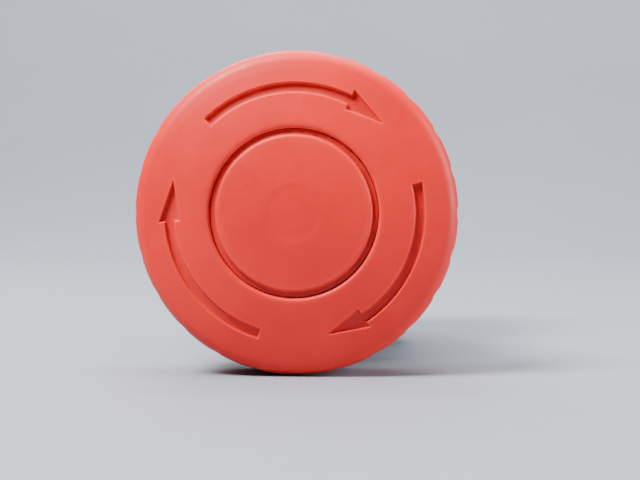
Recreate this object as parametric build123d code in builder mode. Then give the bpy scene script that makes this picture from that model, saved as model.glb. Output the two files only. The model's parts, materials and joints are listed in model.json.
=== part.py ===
from build123d import *
import math
import os

# Emergency stop button for a 22 mm panel hole: push to latch, turn clockwise to release.
# Millimetres. The origin is on the button's axis at the front face of the panel. The axis lies
# along Y with the head towards -Y, +Z is up (the locating key) and +X is right, seen from the front.
# "front" and "back" are Y positions, and angles run anticlockwise from +X, seen from the front.

STROKE = 5.0
FIT = 0.05  # gap between pieces that stay together
RUNNING_FIT = 0.06  # radial gap of sliding and turning pieces
OVERSHOOT = 0.1  # how far a cut or a joined piece runs past the face it meets

# Head
CAP_R = 20.0
CAP_FRONT = -28.0
DOME_R = 70.0
SHOULDER_R = 2.0
SKIRT_BACK = -14.5
SKIRT_WALL = 1.7
SKIRT_DRAFT = 0.15
WEB_BACK = -22.9
HUB_R = 6.0
HUB_BACK = -18.5
FLUTE_COUNT = 24
FLUTE_R = 1.2
FLUTE_CENTRE_R = 20.75
FLUTE_FRONT = -23.2
RIB_COUNT = 6
RIB_T = 1.1
RIB_BACK = -19.5
WEB_FILLET = 1.2
RIM_FILLET = 0.4
ARROW_COUNT = 3
ARROW_TIP_ANGLE = 45.7
ARROW_BASE_ANGLE = 63.7
ARROW_TAIL_ANGLE = 133.5
ARROW_SHAFT_RADII = (14.65, 15.8)
ARROW_HEAD_RADII = (14.0, 16.5)
ARROW_TIP_R = 15.2
ARROW_DEPTH = 0.55

# Centre insert
POCKET_R = 10.25
POCKET_FLOOR = -25.3
INSERT_R = 9.55
EDGE_R = 0.45
GROOVE_DEPTH = 0.55
LEG_COUNT = 3
LEG_R = 7.45
LEG_T = 0.9
LEG_WIDTH = 3.0
LEG_BACK = -22.2
BARB = 0.4
CUP_DEPTH = 1.2
BOSS_R = 3.3
BOSS_BORE_R = 2.2
BOSS_BACK = -24.6

# Head screw
SCREW_POCKET_R = 3.4
SCREW_SEAT = -22.3
CAP_SCREW_R = 1.5
CAP_SCREW_BACK = -12.5
CAP_SCREW_HEAD_R = 2.8
CAP_SCREW_HEAD_T = 1.9
RECESS_HALF = (1.6, 0.35)
RECESS_DEPTH = 1.0

# Spindle
SPINDLE_R = 4.5
SPINDLE_FRONT = -21.0
SPINDLE_FLAT = 3.5
NOTCH_WIDTH = 1.6
COLLAR = (-2.35, -0.85)
COLLAR_R = 6.9
TAB_R = 8.0
TAB_HALF_ANGLE = 15.0
CORE_R = 4.4
STEM_R = 3.0
STEM_BACK = 10.0
CLIP = (8.1, 8.7)
CLIP_GROOVE_R = 2.5
CLIP_R = 4.6
CLIP_ARM_R = 3.6

# Housing
TOWER_FRONT = -13.0
TOWER_R = 8.0
FLANGE_FRONT = -7.5
FLANGE_R = 14.75
GASKET_T = 1.2
GASKET_RADII = (11.2, 14.5)
BORE_R = 8.6
BORE_FRONT = -6.3
BARREL_R = 11.0
BARREL_BACK = 20.0
THREAD_START = 2.8
THREAD_PITCH = 1.0
THREAD_DEPTH = 0.55
KEY_WIDTH = 3.0
KEY_R = 12.7
KEY_BACK = 2.5
PANEL_T = 3.0
GUIDE_RIB_R = 7.7
GUIDE_RIB_WIDTH = 1.5
GUIDE_RIB_FRONT = 2.0
GUIDE_RIB_BACK = 17.1
GUIDE_RIB_PLAY = 0.3
SEAL_R = 6.3
SEAL_BACK = -10.6

# Latch
WIRE_Y = -4.5
LATCH_WIRE_R = 0.6
LATCH_LEG_X = 5.12
LATCH_BEND_Z = 1.9
LATCH_LEG_Z = -5.2
LATCH_COVER = (-3.2, -2.4)
LATCH_PLAY = 0.6
LATCH_WALL = 0.7

# Springs: mean radius and wire radius
TORSION_R = 5.6
TORSION_WIRE_R = 0.35
RETURN_R = 6.8
RETURN_WIRE_R = 0.45
CONTACT_SPRING_R = 1.45
CONTACT_WIRE_R = 0.25
PLUNGER_SPRING_R = 2.15
PLUNGER_WIRE_R = 0.22

# Pusher and its stops
RELEASE_ANGLE = 40.0
STOP_GAP = 0.5
LUG_ANGLE = 19.5
LUG_FRONT = -2.0
LUG_RADII = (7.1, 8.2)
PUSHER_FLANGE = (4.0, 6.5)
PUSHER_R = 8.2
TUBE_R = 5.8
TUBE_BORE_R = 4.9
RETAINER = (17.2, 19.8)
RETAINER_BARB = (18.1, 19.3)
RETAINER_BARB_HALF = 1.5
BAR = (20.35, 22.3)
BAR_HALF = (9.6, 3.5)
BAR_BOSS_FRONT = 17.5
BAR_BOSS_BORE_R = 3.7

# Lock nut and contact carrier
NUT_BACK = 8.0
NUT_R = 14.8
NUT_NOTCHES = 8
NUT_NOTCH_DEPTH = 1.5
NUT_NOTCH_WIDTH = 3.2
NUT_NOTCH_LENGTH = 3.1
CARRIER_R = 14.0
COLLAR_FRONT = 9.5
BOX_FRONT = 18.0
BOX_HALF = (13.5, 16.0)
BOX_INNER_FRONT = 19.8
BOX_PLATE_FRONT = 26.0
BOX_WALL = 1.6
CLAMP_SCREW_Y = 14.0
CLAMP_BOSS_Z = -16.5
CLAMP_HEAD_R = 2.8
CLAMP_HEAD_BACK = -18.4
CLAMP_SLOT_HALF = 0.4

# Contact blocks
BLOCK_FRONT = 27.5
BLOCK_BACK = 47.5
BLOCK_HALF = (5.2, 20.0)
BLOCK_X = 5.45
BLOCK_WALL = 1.4
COVER_FRONT = 46.0
CHAMBER_HALF = (4.2, 9.8)
TERMINAL_Z = (10.8, 18.8)
TERMINAL_FLOOR = 37.5
SCREW_Z = 14.6
HOOK_Z = 11.9
HOOK_T = 1.1
HOOK_BARB = 0.6
HOOK_HALF_X = 2.2
HOOK_FRONT = 24.6
POCKET_HALF_X = 3.4
RISER_HALF_X = 2.5
WIRE_WINDOW = (38.1, 41.5)
WIRE_WINDOW_HALF_X = 2.4
SCREW_TIP = 35.5
SCREW_ACCESS_R = 1.9
COVER_RIM = 0.8
LABEL_HALF = (2.8, 6.0)
LABEL_DEPTH = 0.4
STRIP_T = 0.8
STRIP_WIDTH = 4.4
STRIP_INNER_Z = 5.0
RISER_Z = 11.4
TIP_T = 0.6
TIP_Z = 6.3
PLUNGER_R = 2.3
FRAME = (29.35, 39.0)
FRAME_HALF = (3.4, 2.8)
SLOT = (30.85, 37.5)
SLOT_HALF_X = 2.25
PLUNGER_STEM_R = 1.6
PLUNGER_BACK = 40.5
BRIDGE_HALF = (2.0, 7.6)
BRIDGE_T = 0.8
CLAMP_PLATE = (41.1, 42.3)
CLAMP_PLATE_WIDTH = 5.4
TERMINAL_SCREW_R = 1.5
SCREW_HEAD_R = 2.4
SCREW_HEAD_T = 1.9
SCREW_SLOT_HALF = 0.35
SCREW_SLOT_DEPTH = 0.8
TIP_R = 1.2
STRIP_END_Z = 18.2


def across(y):
    """The plane square to the button's axis at y, seen from the front."""
    return Plane.XZ.offset(-y)


def dome_y(radius, depth=0.0):
    """Y of the head's domed face at a radius, or of a surface that lies deeper by depth."""
    return CAP_FRONT + DOME_R - math.sqrt(DOME_R**2 - radius**2) + depth


def turned(points, mode=Mode.ADD):
    """Turn a closed outline of (radius, y) points about the button's axis."""
    with BuildSketch(Plane.XY) as outline:
        with BuildLine():
            Polyline(*points, close=True)
        make_face()
    revolve(outline.sketch, axis=Axis.Y, mode=mode)


def tube(inner, outer, front, back, mode=Mode.ADD):
    """A plain ring about the button's axis."""
    turned([(inner, front), (outer, front), (outer, back), (inner, back)], mode)


def rod(radius, front, back, x=0.0, z=0.0, mode=Mode.ADD):
    """A round bar along Y."""
    with Locations((x, (front + back) / 2, z)):
        Cylinder(radius, back - front, rotation=(90, 0, 0), mode=mode)


def brick(xs, ys, zs, mode=Mode.ADD):
    """A box given by its two limits along each axis."""
    with Locations([(sum(xs) / 2, sum(ys) / 2, sum(zs) / 2)]):
        Box(xs[1] - xs[0], ys[1] - ys[0], zs[1] - zs[0], mode=mode)


def sector(radii, start, size):
    """A ring sector in the current sketch."""
    inner, outer = radii
    with BuildLine() as edge:
        low = CenterArc((0, 0), inner, start, size)
        high = CenterArc((0, 0), outer, start, size)
        Line(low @ 0, high @ 0)
        Line(low @ 1, high @ 1)
    make_face(edge.edges())


def polar(radius, angle):
    """A sketch point at a radius and an angle in degrees."""
    turn = math.radians(angle)
    return (radius * math.cos(turn), radius * math.sin(turn))


def coil(mean_radius, wire_radius, front, back, turns, x=0.0, z=0.0):
    """A helical spring along Y between front and back."""
    rise = back - front - 2 * wire_radius
    start = (x, front + wire_radius, z)
    with BuildPart() as spring:
        with BuildLine() as path:
            Helix(rise / turns, rise, mean_radius, center=start, direction=(0, 1, 0))
        with BuildSketch(Plane(origin=path.line @ 0, z_dir=path.line % 0)):
            Circle(wire_radius)
        sweep(is_frenet=True)
    return spring.part


def save(part, name):
    part.label = name
    export_step(part, f"parts/{name}.step")


# ---------------------------------------------------------------- head


def arrow_recesses():
    """The three turn arrows, as the solid that is cut from the face."""
    with BuildPart() as arrows:
        with BuildSketch(across(POCKET_FLOOR)):
            for index in range(ARROW_COUNT):
                turn = 360.0 / ARROW_COUNT * index
                sweep_angle = ARROW_TAIL_ANGLE - ARROW_BASE_ANGLE
                sector(ARROW_SHAFT_RADII, ARROW_BASE_ANGLE + turn, sweep_angle)
                with BuildLine() as head:
                    Polyline(
                        polar(ARROW_HEAD_RADII[0], ARROW_BASE_ANGLE + turn),
                        polar(ARROW_HEAD_RADII[1], ARROW_BASE_ANGLE + turn),
                        polar(ARROW_TIP_R, ARROW_TIP_ANGLE + turn),
                        close=True,
                    )
                make_face(head.edges())
        extrude(amount=POCKET_FLOOR - CAP_FRONT)
        with BuildSketch(Plane.XY):
            with BuildLine():
                ThreePointArc(
                    (10, dome_y(10, ARROW_DEPTH)),
                    (14, dome_y(14, ARROW_DEPTH)),
                    (18, dome_y(18, ARROW_DEPTH)),
                )
                Polyline(
                    (18, dome_y(18, ARROW_DEPTH)),
                    (18, SKIRT_BACK),
                    (10, SKIRT_BACK),
                    (10, dome_y(10, ARROW_DEPTH)),
                )
            make_face()
        revolve(axis=Axis.Y, mode=Mode.SUBTRACT)
    return arrows.part


def make_cap():
    wall_r = CAP_R - SKIRT_DRAFT
    inner_r = CAP_R - SKIRT_WALL
    arrows = arrow_recesses()
    with BuildPart() as cap:
        with BuildSketch(Plane.XY) as outline:
            with BuildLine():
                ThreePointArc(
                    (POCKET_R, dome_y(POCKET_R)),
                    (15, dome_y(15)),
                    (wall_r, dome_y(wall_r)),
                )
                Polyline(
                    (wall_r, dome_y(wall_r)),
                    (CAP_R, SKIRT_BACK),
                    (inner_r, SKIRT_BACK),
                    (inner_r - SKIRT_DRAFT, WEB_BACK),
                    (HUB_R, WEB_BACK),
                    (HUB_R, HUB_BACK),
                    (0, HUB_BACK),
                    (0, POCKET_FLOOR),
                    (POCKET_R, POCKET_FLOOR),
                    (POCKET_R, dome_y(POCKET_R)),
                )
            make_face()
            shoulder = outline.vertices().sort_by_distance((wall_r, dome_y(wall_r)))[0]
            fillet(shoulder, SHOULDER_R)
            lip = outline.vertices().sort_by_distance((POCKET_R, dome_y(POCKET_R)))[0]
            fillet(lip, EDGE_R)
            inside = outline.vertices().sort_by_distance((inner_r - SKIRT_DRAFT, WEB_BACK))[0]
            fillet(inside, WEB_FILLET)
            rims = outline.vertices().filter_by(lambda v: v.X > inner_r - 0.1 and v.Y > SKIRT_BACK - 0.1)
            fillet(rims, RIM_FILLET)
        revolve(axis=Axis.Y)
        with BuildSketch(across(RIB_BACK)):
            with PolarLocations((HUB_R + inner_r) / 2, RIB_COUNT, start_angle=30):
                Rectangle(inner_r - HUB_R, RIB_T)
        extrude(amount=RIB_BACK - WEB_BACK + OVERSHOOT)
        with BuildSketch(across(SKIRT_BACK + OVERSHOOT)):
            with PolarLocations(FLUTE_CENTRE_R, FLUTE_COUNT):
                Circle(FLUTE_R)
        extrude(amount=SKIRT_BACK + OVERSHOOT - FLUTE_FRONT, mode=Mode.SUBTRACT)
        with Locations(across(FLUTE_FRONT)):
            with PolarLocations(FLUTE_CENTRE_R, FLUTE_COUNT):
                Sphere(FLUTE_R, mode=Mode.SUBTRACT)
        with BuildSketch(across(WEB_BACK + OVERSHOOT)):
            with PolarLocations(LEG_R + BARB / 2, LEG_COUNT):
                Rectangle(LEG_T + 1.5 * BARB, LEG_WIDTH + 0.6)
        extrude(amount=WEB_BACK - POCKET_FLOOR + 2 * OVERSHOOT, mode=Mode.SUBTRACT)
        rod(SCREW_POCKET_R, POCKET_FLOOR - OVERSHOOT, SCREW_SEAT, mode=Mode.SUBTRACT)
        rod(CAP_SCREW_R + 0.15, SCREW_SEAT - OVERSHOOT, HUB_BACK, mode=Mode.SUBTRACT)
        with BuildSketch(across(HUB_BACK + OVERSHOOT)):
            Circle(SPINDLE_R + FIT / 2)
            Rectangle(2 * CAP_R, 2 * SPINDLE_FLAT + FIT, mode=Mode.INTERSECT)
        extrude(amount=HUB_BACK + OVERSHOOT - SPINDLE_FRONT + FIT, mode=Mode.SUBTRACT)
        add(arrows, mode=Mode.SUBTRACT)
    save(cap.part, "cap")


def make_cap_insert():
    flange_front = dome_y(POCKET_R) + GROOVE_DEPTH
    cup = POCKET_FLOOR - CUP_DEPTH
    with BuildPart() as insert:
        with BuildSketch(Plane.XY) as outline:
            with BuildLine():
                ThreePointArc((0, dome_y(0)), (5, dome_y(5)), (INSERT_R, dome_y(INSERT_R)))
                Polyline(
                    (INSERT_R, dome_y(INSERT_R)),
                    (INSERT_R, flange_front),
                    (POCKET_R - FIT, flange_front),
                    (POCKET_R - FIT, POCKET_FLOOR),
                    (LEG_R + 1.3, POCKET_FLOOR),
                    (LEG_R + 1.3, cup),
                    (0, cup),
                    (0, dome_y(0)),
                )
            make_face()
            rim = outline.vertices().sort_by_distance((INSERT_R, dome_y(INSERT_R)))[0]
            fillet(rim, EDGE_R)
        revolve(axis=Axis.Y)
        rod(BOSS_R, cup - OVERSHOOT, BOSS_BACK)
        rod(BOSS_BORE_R, cup, BOSS_BACK + OVERSHOOT, mode=Mode.SUBTRACT)
        with BuildSketch(across(LEG_BACK)):
            with PolarLocations(LEG_R, LEG_COUNT):
                Rectangle(LEG_T, LEG_WIDTH)
        extrude(amount=LEG_BACK - cup + OVERSHOOT)
        with BuildSketch(across(LEG_BACK)):
            with PolarLocations(LEG_R + BARB, LEG_COUNT):
                Rectangle(LEG_T, LEG_WIDTH)
        extrude(amount=LEG_BACK - WEB_BACK - FIT)
    save(insert.part, "cap_insert")


def make_cap_screw():
    head_front = SCREW_SEAT - CAP_SCREW_HEAD_T
    long, short = RECESS_HALF
    with BuildPart() as screw:
        turned(
            [
                (0, head_front),
                (CAP_SCREW_HEAD_R - 1.0, head_front),
                (CAP_SCREW_HEAD_R - 0.2, head_front + 0.5),
                (CAP_SCREW_HEAD_R, head_front + 1.1),
                (CAP_SCREW_HEAD_R, SCREW_SEAT),
                (CAP_SCREW_R, SCREW_SEAT),
                (CAP_SCREW_R, CAP_SCREW_BACK - 0.5),
                (CAP_SCREW_R - 0.5, CAP_SCREW_BACK),
                (0, CAP_SCREW_BACK),
            ]
        )
        recess_y = (head_front - OVERSHOOT, head_front + RECESS_DEPTH)
        for half_x, half_z in ((long, short), (short, long)):
            brick((-half_x, half_x), recess_y, (-half_z, half_z), Mode.SUBTRACT)
    save(screw.part, "cap_screw")


# ---------------------------------------------------------------- spindle


def make_spindle():
    notch_y = WIRE_Y - STROKE
    groove = (CLIP[0] - FIT, CLIP[1] + FIT)
    with BuildPart() as spindle:
        turned(
            [
                (0, SPINDLE_FRONT),
                (SPINDLE_R, SPINDLE_FRONT),
                (SPINDLE_R, COLLAR[0]),
                (COLLAR_R, COLLAR[0]),
                (COLLAR_R, COLLAR[1]),
                (CORE_R, COLLAR[1]),
                (CORE_R, PUSHER_FLANGE[0] - FIT),
                (STEM_R, PUSHER_FLANGE[0] - FIT),
                (STEM_R, groove[0]),
                (CLIP_GROOVE_R, groove[0]),
                (CLIP_GROOVE_R, groove[1]),
                (STEM_R, groove[1]),
                (STEM_R, STEM_BACK - 0.4),
                (STEM_R - 0.4, STEM_BACK),
                (0, STEM_BACK),
            ]
        )
        for side in (-1, 1):
            beyond = sorted((side * SPINDLE_FLAT, side * CAP_R))
            brick((-CAP_R, CAP_R), (SPINDLE_FRONT, HUB_BACK), beyond, Mode.SUBTRACT)
            notch = (notch_y - NOTCH_WIDTH / 2, notch_y + NOTCH_WIDTH / 2)
            brick(beyond, notch, (-CAP_R, CAP_R), Mode.SUBTRACT)
        with BuildSketch(across(COLLAR[1])):
            sector((COLLAR_R - 1, TAB_R), -TAB_HALF_ANGLE, 2 * TAB_HALF_ANGLE)
        extrude(amount=COLLAR[1] - COLLAR[0])
        rod(CAP_SCREW_R + FIT, SPINDLE_FRONT - OVERSHOOT, CAP_SCREW_BACK + 1, mode=Mode.SUBTRACT)
    save(spindle.part, "spindle")


def make_e_clip():
    with BuildPart() as clip:
        with BuildSketch(across(CLIP[1])):
            sector((CLIP_GROOVE_R + FIT / 2, CLIP_R), -55, 290)
            sector((CLIP_GROOVE_R + FIT / 2, CLIP_ARM_R), -62, 304)
        extrude(amount=CLIP[1] - CLIP[0])
    save(clip.part, "e_clip")


def make_torsion_spring():
    spring = coil(TORSION_R, TORSION_WIRE_R, COLLAR[1] + FIT, PUSHER_FLANGE[0] - FIT, 4)
    save(spring, "torsion_spring")


# ---------------------------------------------------------------- pusher


def make_pusher():
    tab_stop = TAB_HALF_ANGLE + STOP_GAP
    with BuildPart() as pusher:
        turned(
            [
                (STEM_R + RUNNING_FIT, PUSHER_FLANGE[0]),
                (PUSHER_R, PUSHER_FLANGE[0]),
                (PUSHER_R, PUSHER_FLANGE[1]),
                (TUBE_R, PUSHER_FLANGE[1]),
                (TUBE_R, BAR[0] - FIT),
                (TUBE_BORE_R, BAR[0] - FIT),
                (TUBE_BORE_R, CLIP[0] - 2 * FIT),
                (STEM_R + RUNNING_FIT, CLIP[0] - 2 * FIT),
            ]
        )
        with BuildSketch(across(PUSHER_FLANGE[0] + OVERSHOOT)):
            sector(LUG_RADII, tab_stop, LUG_ANGLE)
            sector(LUG_RADII, -RELEASE_ANGLE - tab_stop - LUG_ANGLE, LUG_ANGLE)
        extrude(amount=PUSHER_FLANGE[0] + OVERSHOOT - LUG_FRONT)
        half_notch = (GUIDE_RIB_WIDTH + GUIDE_RIB_PLAY) / 2
        for side in (-1, 1):
            depth = sorted((side * (GUIDE_RIB_R - GUIDE_RIB_PLAY), side * BORE_R))
            through = (PUSHER_FLANGE[0] - 1, PUSHER_FLANGE[1] + 1)
            brick((-half_notch, half_notch), through, depth, Mode.SUBTRACT)
    save(pusher.part, "pusher")


def make_return_spring():
    front = PUSHER_FLANGE[1] + FIT
    spring = coil(RETURN_R, RETURN_WIRE_R, front, RETAINER[0] - FIT, 4.5)
    save(spring, "return_spring")


def make_spring_retainer():
    with BuildPart() as retainer:
        tube(TUBE_R + 0.1, BORE_R - FIT, *RETAINER)
        for side in (-1, 1):
            xs = sorted((side * (BORE_R - 0.3), side * (BORE_R + 0.35)))
            brick(xs, RETAINER_BARB, (-RETAINER_BARB_HALF, RETAINER_BARB_HALF))
    save(retainer.part, "spring_retainer")


def make_push_bar():
    half_x, half_z = BAR_HALF
    with BuildPart() as bar:
        brick((-half_x, half_x), BAR, (-half_z, half_z))
        fillet(bar.edges().filter_by(Axis.Y), 1.5)
        chamfer(bar.faces().sort_by(Axis.Y)[-1].edges(), 0.3)
        rod(TUBE_BORE_R - FIT, BAR_BOSS_FRONT, BAR[0] + OVERSHOOT)
        rod(BAR_BOSS_BORE_R, BAR_BOSS_FRONT - OVERSHOOT, BAR[0], mode=Mode.SUBTRACT)
    save(bar.part, "push_bar")


# ---------------------------------------------------------------- housing


def thread_points():
    """(radius, y) points of the barrel's thread, as plain ridges."""
    root = BARREL_R - THREAD_DEPTH
    points = []
    y = THREAD_START
    while y + THREAD_PITCH < BARREL_BACK - 0.6:
        points += [
            (root, y + 0.1),
            (BARREL_R, y + 0.4),
            (BARREL_R, y + 0.55),
            (root, y + 0.85),
        ]
        y += THREAD_PITCH
    return points


def make_housing():
    root = BARREL_R - THREAD_DEPTH
    with BuildPart() as housing:
        turned(
            [
                (SPINDLE_R + RUNNING_FIT, SEAL_BACK),
                (SEAL_R, SEAL_BACK),
                (SEAL_R, TOWER_FRONT),
                (TOWER_R - 0.5, TOWER_FRONT),
                (TOWER_R, TOWER_FRONT + 0.5),
                (TOWER_R, FLANGE_FRONT - 0.6),
                (TOWER_R + 0.6, FLANGE_FRONT),
                (FLANGE_R - 2.6, FLANGE_FRONT),
                (FLANGE_R - 1.2, FLANGE_FRONT + 0.7),
                (FLANGE_R, FLANGE_FRONT + 3.6),
                (FLANGE_R, -GASKET_T),
                (BARREL_R, -GASKET_T),
                (BARREL_R, THREAD_START - 0.5),
                (root, THREAD_START),
                *thread_points(),
                (root, BARREL_BACK - 0.3),
                (root - 0.3, BARREL_BACK),
                (BORE_R, BARREL_BACK),
                (BORE_R, BORE_FRONT),
                (SPINDLE_R + RUNNING_FIT, BORE_FRONT),
            ]
        )
        half_key = KEY_WIDTH / 2
        brick((-half_key, half_key), (-GASKET_T - 0.2, KEY_BACK), (BARREL_R - 1, KEY_R))
        half_rib = GUIDE_RIB_WIDTH / 2
        for side in (-1, 1):
            zs = sorted((side * GUIDE_RIB_R, side * (BORE_R + 0.3)))
            brick((-half_rib, half_rib), (GUIDE_RIB_FRONT, GUIDE_RIB_BACK), zs)
            xs = sorted((side * (BORE_R - 0.2), side * (BORE_R + 0.45)))
            window = (RETAINER_BARB[0] - 0.1, RETAINER_BARB[1] + 0.1)
            half_window = RETAINER_BARB_HALF + 0.1
            brick(xs, window, (-half_window, half_window), Mode.SUBTRACT)
    save(housing.part, "housing")


def make_shaft_seal():
    inner = SPINDLE_R + FIT
    outer = SEAL_R - 0.02
    with BuildPart() as seal:
        turned(
            [
                (inner, TOWER_FRONT + 0.4),
                (inner + 0.3, TOWER_FRONT - 0.2),
                (inner + 0.6, TOWER_FRONT - 0.2),
                (inner + 0.7, TOWER_FRONT + 0.8),
                (outer - 0.5, TOWER_FRONT + 0.8),
                (outer - 0.4, TOWER_FRONT),
                (outer, TOWER_FRONT),
                (outer, SEAL_BACK - 0.02),
                (inner + 0.2, SEAL_BACK - 0.02),
                (inner, SEAL_BACK - 0.4),
            ]
        )
    save(seal.part, "shaft_seal")


def make_latch_carrier():
    back = LATCH_COVER[0]
    room = LATCH_LEG_X + LATCH_WIRE_R + LATCH_PLAY
    with BuildPart() as carrier:
        tube(SPINDLE_R + 0.25, BORE_R - FIT, BORE_FRONT + FIT, back)
        with BuildSketch(across(back)):
            with Locations((0, LATCH_BEND_Z)):
                Circle(room)
            with Locations((0, LATCH_BEND_Z - BORE_R / 2)):
                Rectangle(2 * room, BORE_R)
            Circle(BORE_R - LATCH_WALL, mode=Mode.INTERSECT)
        extrude(amount=back - WIRE_Y + LATCH_WIRE_R + 0.1, mode=Mode.SUBTRACT)
    save(carrier.part, "latch_carrier")


def make_latch_spring():
    with BuildPart() as spring:
        with BuildLine(across(WIRE_Y)) as path:
            left = Line((-LATCH_LEG_X, LATCH_LEG_Z), (-LATCH_LEG_X, LATCH_BEND_Z))
            bend = ThreePointArc(
                left @ 1,
                (0, LATCH_BEND_Z + LATCH_LEG_X),
                (LATCH_LEG_X, LATCH_BEND_Z),
            )
            Line(bend @ 1, (LATCH_LEG_X, LATCH_LEG_Z))
        with BuildSketch(Plane(origin=path.wire() @ 0, z_dir=path.wire() % 0)):
            Circle(LATCH_WIRE_R)
        sweep()
    save(spring.part, "latch_spring")


def make_latch_cover():
    with BuildPart() as cover:
        tube(SPINDLE_R + 0.25, BORE_R - FIT, *LATCH_COVER)
    save(cover.part, "latch_cover")


def make_panel_gasket():
    with BuildPart() as gasket:
        tube(*GASKET_RADII, -GASKET_T, 0)
        half_key = KEY_WIDTH / 2 + 0.2
        brick((-half_key, half_key), (-2, 1), (BARREL_R - 1, KEY_R + 0.3), Mode.SUBTRACT)
    save(gasket.part, "panel_gasket")


def make_lock_nut():
    inner = BARREL_R + FIT
    with BuildPart() as nut:
        turned(
            [
                (inner + 0.4, PANEL_T),
                (NUT_R - 0.5, PANEL_T),
                (NUT_R, PANEL_T + 0.5),
                (NUT_R, NUT_BACK - 0.5),
                (NUT_R - 0.5, NUT_BACK),
                (inner + 0.4, NUT_BACK),
                (inner, NUT_BACK - 0.4),
                (inner, PANEL_T + 0.4),
            ]
        )
        with BuildSketch(across(NUT_BACK + OVERSHOOT)):
            with PolarLocations(NUT_R, NUT_NOTCHES, start_angle=22.5):
                Rectangle(2 * NUT_NOTCH_DEPTH, NUT_NOTCH_WIDTH)
        extrude(amount=NUT_NOTCH_LENGTH, mode=Mode.SUBTRACT)
    save(nut.part, "lock_nut")


# ---------------------------------------------------------------- contact carrier


def make_contact_carrier():
    half_x, half_z = BOX_HALF
    inner_x = half_x - BOX_WALL
    inner_z = half_z - BOX_WALL
    window_z = BAR_HALF[1] + 1.7
    with BuildPart() as carrier:
        brick((-half_x, half_x), (BOX_FRONT, BLOCK_FRONT), (-half_z, half_z))
        fillet(carrier.edges().filter_by(Axis.Y), 1.8)
        brick(
            (-inner_x, inner_x),
            (BOX_INNER_FRONT, BOX_PLATE_FRONT),
            (-inner_z, inner_z),
            Mode.SUBTRACT,
        )
        brick(
            (-inner_x, inner_x),
            (BOX_PLATE_FRONT - 1, BLOCK_FRONT + 1),
            (-window_z, window_z),
            Mode.SUBTRACT,
        )
        rod(CARRIER_R, COLLAR_FRONT, BOX_FRONT + 0.5)
        brick((-4, 4), (CLAMP_SCREW_Y - 3.5, BOX_FRONT + 0.5), (CLAMP_BOSS_Z, -BARREL_R))
        rod(BARREL_R + 0.1, COLLAR_FRONT - 1, BOX_INNER_FRONT + 0.1, mode=Mode.SUBTRACT)
        with Locations((0, CLAMP_SCREW_Y, -13)):
            Cylinder(CAP_SCREW_R + FIT, 10, mode=Mode.SUBTRACT)
        slot = (HOOK_Z - 0.2, HOOK_Z + HOOK_T + HOOK_BARB + 0.1)
        for x in (-BLOCK_X, BLOCK_X):
            for side in (-1, 1):
                zs = sorted((side * slot[0], side * slot[1]))
                xs = (x - HOOK_HALF_X - 0.2, x + HOOK_HALF_X + 0.2)
                brick(xs, (BOX_PLATE_FRONT - 1, BLOCK_FRONT + 1), zs, Mode.SUBTRACT)
    save(carrier.part, "contact_carrier")


def make_carrier_screw():
    head_z = (CLAMP_HEAD_BACK, CLAMP_BOSS_Z - FIT)
    with BuildPart() as screw:
        with BuildSketch(Plane.XY.offset(head_z[0])):
            with Locations((0, CLAMP_SCREW_Y)):
                Circle(CLAMP_HEAD_R)
        extrude(amount=head_z[1] - head_z[0])
        chamfer(screw.edges().sort_by(Axis.Z)[0], 0.4)
        with BuildSketch(Plane.XY.offset(head_z[1])):
            with Locations((0, CLAMP_SCREW_Y)):
                Circle(CAP_SCREW_R)
        extrude(amount=-BARREL_R - FIT - head_z[1])
        slot_y = (CLAMP_SCREW_Y - CLAMP_SLOT_HALF, CLAMP_SCREW_Y + CLAMP_SLOT_HALF)
        brick((-3, 3), slot_y, (head_z[0] - 1, head_z[0] + 1), Mode.SUBTRACT)
    save(screw.part, "carrier_screw")


# ---------------------------------------------------------------- contact blocks
# A block is made for the normally closed contact ("nc") or the normally open one ("no").
# Each block's pieces are made about x, its own centre line.


def strip_front(kind):
    """Front face of the strips' inner ends, which carry the fixed tips."""
    if kind == "nc":
        return BLOCK_FRONT + BLOCK_WALL
    return SLOT[1] + TIP_T + STROKE + 0.02 + TIP_T


def bridge_front(kind):
    if kind == "nc":
        return strip_front(kind) + STRIP_T + 2 * TIP_T
    return SLOT[1] - BRIDGE_T


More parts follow.
